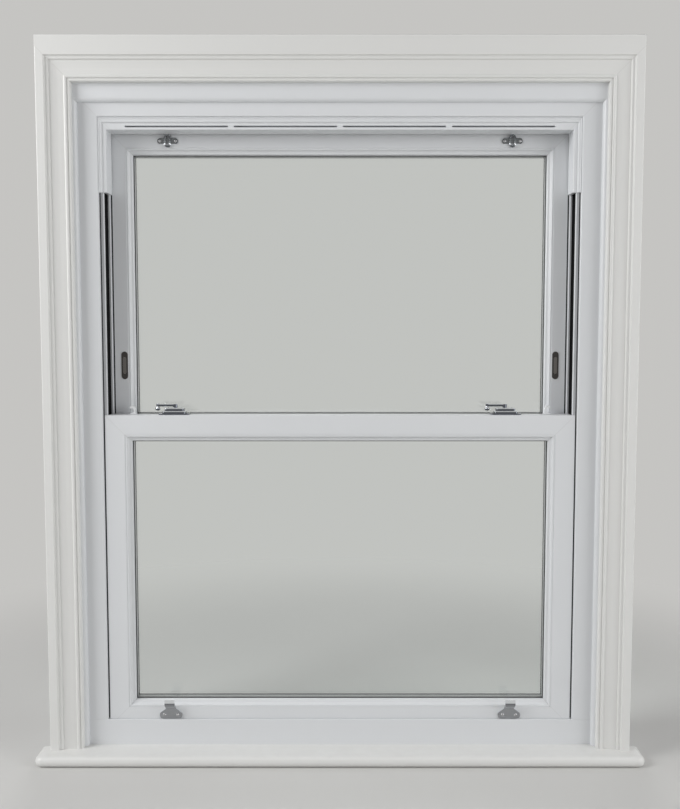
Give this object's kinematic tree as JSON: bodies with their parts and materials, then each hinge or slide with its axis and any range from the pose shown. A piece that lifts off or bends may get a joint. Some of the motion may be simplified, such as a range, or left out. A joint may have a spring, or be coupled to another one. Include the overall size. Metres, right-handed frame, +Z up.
{
  "type": "sash window",
  "caption": "White vertical sliding sash window in its frame, with moulded surround, window board, sliding sashes, hook lifts and cam fasteners.",
  "frame": {"origin": "centre of the footprint, at the undersides of the window board and sub-cill", "axes": "+X to the right seen from the room, +Y outdoors, +Z up"},
  "size_m": [1.23, 0.231, 1.447],
  "materials": {
    "painted_wood": "white satin paint",
    "white_upvc": "smooth white",
    "glass": "clear float glass",
    "spacer": "mill",
    "gasket": "matt black",
    "brush_pile": "dense pile",
    "chrome": "polished",
    "steel": "zinc plated",
    "balance_tube": "smooth",
    "white_nylon": "moulded",
    "brown_plastic": "moulded"
  },
  "bodies": {
    "frame": {"architrave_left": "painted_wood", "architrave_right": "painted_wood", "architrave_head": "painted_wood", "window_board": "painted_wood", "lining_left": "white_upvc", "lining_right": "white_upvc", "lining_head": "white_upvc", "frame_head": "white_upvc", "frame_jamb_left": "white_upvc", "frame_jamb_right": "white_upvc", "frame_cill": "white_upvc", "sub_cill": "white_upvc", "head_vent_trim": "white_upvc", "channel_cover_left": "white_upvc", "channel_cover_right": "white_upvc", "outer_stop_left": "white_upvc", "outer_stop_right": "white_upvc", "pile_seals": "brush_pile", "balance_screws": "steel", "inner_balance_tubes": "balance_tube", "outer_balance_tubes": "balance_tube"},
    "lower_sash": {"lower_stile_left": "white_upvc", "lower_stile_right": "white_upvc", "lower_top_rail": "white_upvc", "lower_bottom_rail": "white_upvc", "lower_glazing_beads": "white_upvc", "lower_glass_panes": "glass", "lower_spacer": "spacer", "lower_glazing_gasket": "gasket", "lower_interlock": "white_upvc", "sash_lift_left": "chrome", "sash_lift_right": "chrome", "fastener_base_left": "chrome", "fastener_base_right": "chrome", "lower_balance_shoes": "white_nylon", "lower_balance_rods": "steel", "lower_sash_screws": "steel"},
    "upper_sash": {"upper_stile_left": "white_upvc", "upper_stile_right": "white_upvc", "upper_top_rail": "white_upvc", "upper_meeting_rail": "white_upvc", "upper_glazing_beads": "white_upvc", "upper_glass_panes": "glass", "upper_spacer": "spacer", "upper_glazing_gasket": "gasket", "upper_interlock": "white_upvc", "pole_eye_left": "chrome", "pole_eye_right": "chrome", "keeper_left": "chrome", "keeper_right": "chrome", "restrictor_plates": "brown_plastic", "upper_balance_shoes": "white_nylon", "upper_balance_rods": "steel", "upper_sash_screws": "steel"},
    "fastener_lever_left": {"fastener_lever_left": "chrome"},
    "fastener_lever_right": {"fastener_lever_right": "chrome"},
    "tilt_latch_left": {"tilt_latch_left": "white_nylon"},
    "tilt_latch_right": {"tilt_latch_right": "white_nylon"},
    "restrictor_bolt_left": {"restrictor_bolt_left": "brown_plastic"},
    "restrictor_bolt_right": {"restrictor_bolt_right": "brown_plastic"}
  },
  "joints": [
    {"name": "lower_sash_slide", "type": "slide", "parent": "frame", "child": "lower_sash", "axis": [0, 0, 1], "range_m": [0, 0.444]},
    {"name": "upper_sash_slide", "type": "slide", "parent": "frame", "child": "upper_sash", "axis": [0, 0, -1], "range_m": [0, 0.444]},
    {"name": "fastener_turn_left", "type": "hinge", "parent": "lower_sash", "child": "fastener_lever_left", "pos_m": [-0.3385, -0.011, 0.712], "axis": [0, 0, -1], "range_deg": [-180, 0]},
    {"name": "fastener_turn_right", "type": "hinge", "parent": "lower_sash", "child": "fastener_lever_right", "pos_m": [0.3385, -0.011, 0.712], "axis": [0, 0, -1], "range_deg": [-180, 0]},
    {"name": "restrictor_slide_left", "type": "slide", "parent": "upper_sash", "child": "restrictor_bolt_left", "axis": [0, 1, 0], "range_m": [-0.012, 0]},
    {"name": "restrictor_slide_right", "type": "slide", "parent": "upper_sash", "child": "restrictor_bolt_right", "axis": [0, 1, 0], "range_m": [-0.012, 0]},
    {"name": "latch_slide_left", "type": "slide", "parent": "lower_sash", "child": "tilt_latch_left", "axis": [1, 0, 0], "range_m": [0, 0.012], "stiffness_N_per_m": 300, "springref_m": -0.004},
    {"name": "latch_slide_right", "type": "slide", "parent": "lower_sash", "child": "tilt_latch_right", "axis": [-1, 0, 0], "range_m": [0, 0.012], "stiffness_N_per_m": 300, "springref_m": -0.004}
  ]
}
